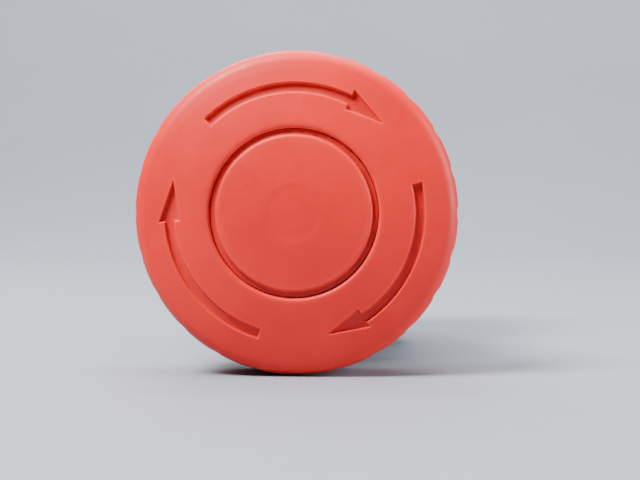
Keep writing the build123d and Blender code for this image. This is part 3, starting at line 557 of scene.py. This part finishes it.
def make_head():
    """The shell with its flutes and arrows, and the ribs behind its face."""
    profile = head_profile()
    turn = np.linspace(0, 2 * math.pi, COLUMNS, endpoint=False)
    radius = np.repeat(profile[:, 0][:, None], COLUMNS, axis=1)
    y = np.repeat(profile[:, 1][:, None], COLUMNS, axis=1)
    outside = (profile[:, 1] > CAP_FRONT) & (profile[:, 0] > SKIRT_INNER_R - 0.9)
    outside &= (profile[:, 0] > SKIRT_INNER_R + 0.9) | (profile[:, 1] < WEB_BACK - 1.0)
    over = radius - flute_radius(turn)[None, :]
    bite = (over + np.sqrt(over**2 + FLUTE_SOFT**2)) / 2
    fade = smooth_step((y - FLUTE_RUN_OUT[0]) / (FLUTE_RUN_OUT[1] - FLUTE_RUN_OUT[0]))
    radius = np.where(outside[:, None], radius - bite * fade, radius)
    on_face = (profile[:, 0] > ARROW_ZONE[0]) & (profile[:, 0] < ARROW_ZONE[1])
    on_face &= profile[:, 1] < POCKET_FLOOR
    distance = arrow_distance(radius, turn[None, :])
    sunk = ARROW_DEPTH * smooth_step(0.5 - distance / ARROW_WALL)
    y = np.where(on_face[:, None], y + sunk, y)
    points = np.stack([radius * np.cos(turn), y, radius * np.sin(turn)], axis=-1)
    mesh = grid_mesh("head", points)
    mesh.shade_smooth()
    # Paler arrow rims, pocket lip and flute edges: partly wear, partly painted highlight.
    rims = np.exp(-np.square((distance - 0.12) / 0.12)) * on_face[:, None]
    lip = np.exp(-np.square((profile[:, 0] - POCKET_R - 0.2) / 0.2)) * (profile[:, 1] < LIP_Y)
    flute_edges = np.exp(-np.square((over + 0.05) / 0.08)) * fade * outside[:, None]
    wear_and_highlight = np.clip(rims * 0.6 + lip[:, None] * 0.4 + flute_edges * 0.4, 0, 1)
    # Painted shade mask: the arrow floors (floor) and the pocket groove (pocket) are marked to be darkened
    # where shade falls.
    floor = smooth_step(-distance / 0.3) * on_face[:, None] * 0.35
    pocket = (profile[:, 1] > LIP_Y) & (profile[:, 1] < POCKET_FLOOR + 0.1)
    pocket &= profile[:, 0] < POCKET_R + 0.1
    painted_recess_shade = np.clip(floor + pocket[:, None] * 0.6, 0, 1)
    add_layers(mesh, {"wear_and_highlight": wear_and_highlight, "painted_recess_shade": painted_recess_shade})
    shell = link("head_shell", mesh)
    ribs = []
    lengthways = (HUB_R - 0.2, SKIRT_INNER_R - 2 * INNER_DRAFT)
    for index in range(RIBS):
        rib = brick(f"rib_{index}", lengthways, (WEB_BACK - 0.2, RIB_BACK), (-RIB_T / 2, RIB_T / 2))
        rib.data.transform(Matrix.Rotation(math.radians(30 + 360 / RIBS * index), 4, "Y"))
        ribs.append(ease(rib, 0.18, 2))
    ribs = join("head_ribs", ribs)
    soften(ribs.data)
    finish_piece(shell, "knob", "red_plastic", ["cap"])
    ribs.data.materials.append(MATERIALS["red_plastic"])
    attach(ribs, "knob")


def make_insert():
    """The centre disc with its flange, boss and snap legs."""
    flange = float(dome_y(POCKET_R)) + GROOVE_DEPTH
    cup = POCKET_FLOOR - CUP_DEPTH
    rim = (INSERT_R - EDGE_R, float(dome_y(INSERT_R - EDGE_R)) + EDGE_R)
    rows = []
    middle, slope_zone = np.linspace(0.02, 2.4, 6), np.linspace(2.7, 3.9, 13)
    for r in (*middle, *slope_zone, *np.linspace(4.3, rim[0] - 0.1, 10)):
        sink = SINK_DEPTH * (1 - smooth_step((r - SINK_R) / SINK_SLOPE))
        rows.append((r, float(dome_y(r)) + sink))
    slope = math.degrees(math.asin(rim[0] / DOME_R))
    rows += arc(rim, EDGE_R, 270 + slope, 360, 8)
    rows += [(INSERT_R, flange - 0.15), (INSERT_R + 0.12, flange), (POCKET_R - 0.1, flange)]
    rows += [(POCKET_R - 0.05, flange + 0.1), (POCKET_R - 0.05, POCKET_FLOOR), (CUP_R + 0.1, POCKET_FLOOR)]
    rows += [(CUP_R, cup), (BOSS_R, cup), (BOSS_R, BOSS_BACK), (BOSS_BORE_R, BOSS_BACK)]
    rows += [(BOSS_BORE_R, cup), (0.02, cup)]
    mesh = grid_mesh("insert", around(rows, 360))
    soften(mesh, 60)
    disc = link("insert_disc", mesh)
    legs = []
    breadth = (-LEG_WIDTH / 2, LEG_WIDTH / 2)
    for index in range(LEGS):
        leg = brick(f"leg_{index}", LEG_RADII, (cup - 0.1, LEG_BACK), breadth)
        barb = brick(f"barb_{index}", BARB_RADII, (WEB_BACK + 0.05, LEG_BACK), breadth)
        leg = unite(leg, barb)
        leg.data.transform(Matrix.Rotation(math.radians(360 / LEGS * index), 4, "Y"))
        legs.append(ease(leg, 0.1, 2))
    piece = join("head_insert", [disc, *legs])
    values = np.array([v.co for v in piece.data.vertices]) / MM
    r = np.hypot(values[:, 0], values[:, 2])
    # The disc's rounded rim is made paler: partly wear, partly painted highlight.
    wear_and_highlight = np.exp(-np.square((r - INSERT_R + 0.4) / 0.25)) * (values[:, 1] < INSERT_FACE_Y) * 0.4
    # Painted shade mask: the insert's side wall down in the groove is marked to be darkened.
    painted_recess_shade = ((r > INSERT_R - 0.02) & (values[:, 1] > INSERT_WALL_Y)) * 0.6
    add_layers(piece.data, {"wear_and_highlight": wear_and_highlight, "painted_recess_shade": painted_recess_shade})
    finish_piece(piece, "knob", "red_plastic", ["cap_insert"])


make_head()
make_insert()

# ---------------------------------------------------------------- fitting and contact blocks


def rounded(node, body, width):
    """A node's shape with its edges rounded by width mm."""
    work = bmesh.new()
    work.from_mesh(frame["nodes"][node].data)
    bmesh.ops.remove_doubles(work, verts=work.verts, dist=WELD * MM)
    bmesh.ops.dissolve_limit(work, angle_limit=math.radians(0.6), verts=work.verts, edges=work.edges)
    mesh = bpy.data.meshes.new(node)
    work.to_mesh(mesh)
    work.free()
    piece = ease(link(f"{node}_shape", mesh), width, 2)
    return finish_piece(piece, body, slots[node], [node])


def spring(node, joint, mean_r, wire_r, limits, turns, x=0.0):
    """A spring with closed ends along Y between its limits; the joint argument is not used."""
    steps = int(turns * 40)
    t = np.linspace(0, 1, steps + 1)
    low, high = limits[0] + wire_r, limits[1] - wire_r
    pitch_share = np.clip((t * turns - 0.75) / (turns - 1.5), 0, 1)
    y = low + (high - low) * (0.12 * t + 0.88 * pitch_share)
    angle = t * turns * 2 * math.pi
    centre = np.stack([x + mean_r * np.cos(angle), y, mean_r * np.sin(angle)], axis=-1)
    out = np.stack([np.cos(angle), np.zeros_like(t), np.sin(angle)], axis=-1)
    side = np.array([0.0, 1.0, 0.0])
    ring = np.linspace(0, 2 * math.pi, 12, endpoint=False)
    points = centre[:, None, :] + wire_r * (
        np.cos(ring)[None, :, None] * out[:, None, :] + np.sin(ring)[None, :, None] * side
    )
    count = len(ring)
    index = np.arange(points.shape[0] * count).reshape(-1, count)
    right = np.roll(index, -1, axis=1)
    faces = np.stack([index[:-1], right[:-1], right[1:], index[1:]], axis=-1).reshape(-1, 4).tolist()
    faces += [index[0].tolist(), index[-1].tolist()[::-1]]
    mesh = bpy.data.meshes.new(node)
    mesh.from_pydata((points.reshape(-1, 3) * MM).tolist(), [], faces)
    outward(mesh)
    soften(mesh, 50)
    coil = finish_piece(link(f"{node}_coil", mesh), "housing", slots[node], [node])
    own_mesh(coil)


def make_housing():
    """Tower, flange, helically threaded barrel and locating key."""
    front = [(BUSH_R, BUSH[0]), (SEAL_POCKET_R, BUSH[0]), (SEAL_POCKET_R, TOWER_FRONT)]
    front += arc((TOWER_R - TOWER_ROUND, TOWER_FRONT + TOWER_ROUND), TOWER_ROUND, 270, 360, 5)
    foot = FLANGE_FRONT - TOWER_FOOT
    front += [(TOWER_R, foot - 0.1)] + arc((TOWER_R + TOWER_FOOT, foot), TOWER_FOOT, 180, 90, 5)
    round_r = FLANGE_R - FLANGE_ROUND
    front += [(round_r + 0.2, FLANGE_FRONT)]
    front += arc((round_r, FLANGE_FRONT + FLANGE_ROUND), FLANGE_ROUND, 282, 352, 10)
    front += [(FLANGE_R, -4.0)] + arc((FLANGE_R - 0.3, FLANGE_BACK - 0.3), 0.3, 0, 90, 4)
    front += [(BARREL_R, FLANGE_BACK), (BARREL_R, THREAD[0] - 0.5), (BARREL_R, THREAD[0])]
    rows = int((THREAD[1] - THREAD[0]) / THREAD_STEP)
    thread = [(BARREL_R, THREAD[0] + THREAD_STEP * (i + 1)) for i in range(rows)]
    root_r = BARREL_R - THREAD_DEPTH
    back = [(root_r, BARREL_BACK - 0.25), (root_r - 0.3, BARREL_BACK), (BORE_R, BARREL_BACK)]
    back += [(BORE_R, BUSH[1]), (BUSH_R, BUSH[1])]
    points = around([*front, *thread, *back], BARREL_COLUMNS)
    turn = np.linspace(0, 2 * math.pi, BARREL_COLUMNS, endpoint=False)
    first = len(front)
    y = points[first : first + rows, :, 1]
    phase = (y / THREAD_PITCH - turn[None, :] / (2 * math.pi)) % 1.0
    groove = np.clip(np.abs(phase - 0.5) * 2.6 - 0.2, 0, 1)
    runs = smooth_step((y - THREAD[0]) / 0.6) * smooth_step((THREAD[1] - y) / 0.4)
    depth = THREAD_DEPTH * groove * runs
    scale = 1 - depth / BARREL_R
    points[first : first + rows, :, 0] *= scale
    points[first : first + rows, :, 2] *= scale
    mesh = grid_mesh("barrel", points)
    soften(mesh, 40)
    barrel = link("housing_barrel", mesh)
    key = ease(brick("key", (-KEY_WIDTH / 2, KEY_WIDTH / 2), KEY_Y, KEY_Z), 0.2)
    breadth = (-GUIDE_WIDTH / 2, GUIDE_WIDTH / 2)
    below = (-GUIDE_RADII[1], -GUIDE_RADII[0])
    guides = [brick("guide", breadth, GUIDE_Y, heights) for heights in (GUIDE_RADII, below)]
    piece = join("housing_shape", [barrel, key, *guides])
    soften(piece.data, 40)
    return finish_piece(piece, "housing", "black_plastic", ["housing"])


slots = {entry["node"]: entry["material_slot"] for entry in frame["record"]["subparts"]}
make_housing()
rounded("lock_nut", "housing", 0.25)
rounded("panel_gasket", "housing", 0.2)
rounded("contact_carrier", "housing", 0.3)
rounded("carrier_screw", "housing", 0.08)
rounded("push_bar", "pusher", 0.15)
rounded("spring_retainer", "housing", 0.15)
spring("return_spring", "push", **RETURN_SPRING)
for kind, x in (("nc", -BLOCK_X), ("no", BLOCK_X)):
    rounded(f"{kind}_body", "housing", 0.25)
    rounded(f"{kind}_cover", "housing", 0.12)
    rounded(f"{kind}_terminal_screws", "housing", 0.12)
    rounded(f"{kind}_clamp_plates", "housing", 0.12)
    rounded(f"{kind}_plunger", f"{kind}_actuator", 0.15)
    spring(f"{kind}_plunger_spring", f"{kind}_travel", x=x, **PLUNGER_SPRING)

# ---------------------------------------------------------------- carried-over CAD nodes

for node, piece in frame["nodes"].items():
    piece.data.materials.clear()
    piece.data.materials.append(MATERIALS[slots[node]])
    soften(piece.data, 25)

# ---------------------------------------------------------------- stage, camera and light


def make_floor():
    """A floor that curves up into a backdrop behind."""
    line = [(FLOOR_FRONT, 0.0), (FLOOR_REACH, 0.0)]
    for t in np.linspace(0.04, math.pi / 2, 32):
        line.append((FLOOR_REACH + FLOOR_BEND * math.sin(t), FLOOR_BEND * (1 - math.cos(t))))
    line.append((FLOOR_REACH + FLOOR_BEND, FLOOR_RISE))
    vertices = []
    for y, z in line:
        for x in (-FLOOR_HALF_WIDTH, FLOOR_HALF_WIDTH):
            vertices.append((x * MM, y * MM, (FLOOR_Z + z) * MM))
    faces = [(i, i + 1, i + 3, i + 2) for i in range(0, len(vertices) - 2, 2)]
    mesh = bpy.data.meshes.new("floor")
    mesh.from_pydata(vertices, [], faces)
    mesh.shade_smooth()
    floor = link("floor", mesh)
    s = Shader("floor_paper")
    tone = s.mix(s.noise(60.0, 3.0), (0.22, 0.24, 0.285), (0.24, 0.26, 0.305))
    normal = s.bump(s.noise(0.6, 3.0), 0.03, 0.3)
    s.close(tone, s.ramp(s.noise(4.0), 0.3, 0.7, 0.7, 0.85), normal)
    mesh.materials.append(s.material)


def aim(thing, place, target):
    thing.location = place
    thing.rotation_euler = (Vector(target) - Vector(place)).to_track_quat("-Z", "Y").to_euler()


def area_light(name, place, target, size, power, colour):
    light = bpy.data.lights.new(name, "AREA")
    light.shape = "RECTANGLE"
    light.size, light.size_y = size
    light.energy = power
    light.color = colour
    holder = bpy.data.objects.new(name, light)
    bpy.context.scene.collection.objects.link(holder)
    aim(holder, Vector(place) * MM, Vector(target) * MM)


def make_camera():
    camera = bpy.data.cameras.new("camera")
    camera.lens = LENS
    camera.clip_start = 0.005
    holder = bpy.data.objects.new("camera", camera)
    bpy.context.scene.collection.objects.link(holder)
    middle = Vector((0, LOOK_Y, 0))
    yaw, pitch = math.radians(YAW), math.radians(PITCH)
    away = Vector((math.sin(yaw) * math.cos(pitch), -math.cos(yaw) * math.cos(pitch), math.sin(pitch)))
    right = Vector((math.cos(yaw), math.sin(yaw), 0))
    place = middle + away * DISTANCE
    aim(holder, place * MM, (middle + right * LOOK_RIGHT - UP * LOOK_DOWN) * MM)
    bpy.context.scene.camera = holder


def make_light():
    area_light("key", (-240, -205, 420), (0, -25, 0), (0.20, 0.20), 8.8, (1.0, 0.95, 0.90))
    area_light("top", (30, -50, 520), (0, -25, 0), (0.30, 0.20), 2.0, (1.0, 0.97, 0.94))
    area_light("side", (430, -52, 120), (0, -22, 0), (0.18, 0.30), 2.8, (0.97, 0.98, 1.0))
    area_light("rim", (-120, 380, 330), (0, 20, 0), (0.30, 0.20), 1.6, (1.0, 1.0, 1.0))
    area_light("backdrop", (0, 450, 900), (0, 1000, 250), (1.2, 0.5), 24.0, (1.0, 1.0, 1.0))
    world = bpy.data.worlds.new("world")
    world.use_nodes = True
    world.node_tree.nodes["Background"].inputs["Color"].default_value = (0.80, 0.85, 0.95, 1)
    world.node_tree.nodes["Background"].inputs["Strength"].default_value = 0.05
    bpy.context.scene.world = world


make_floor()
make_camera()
make_light()
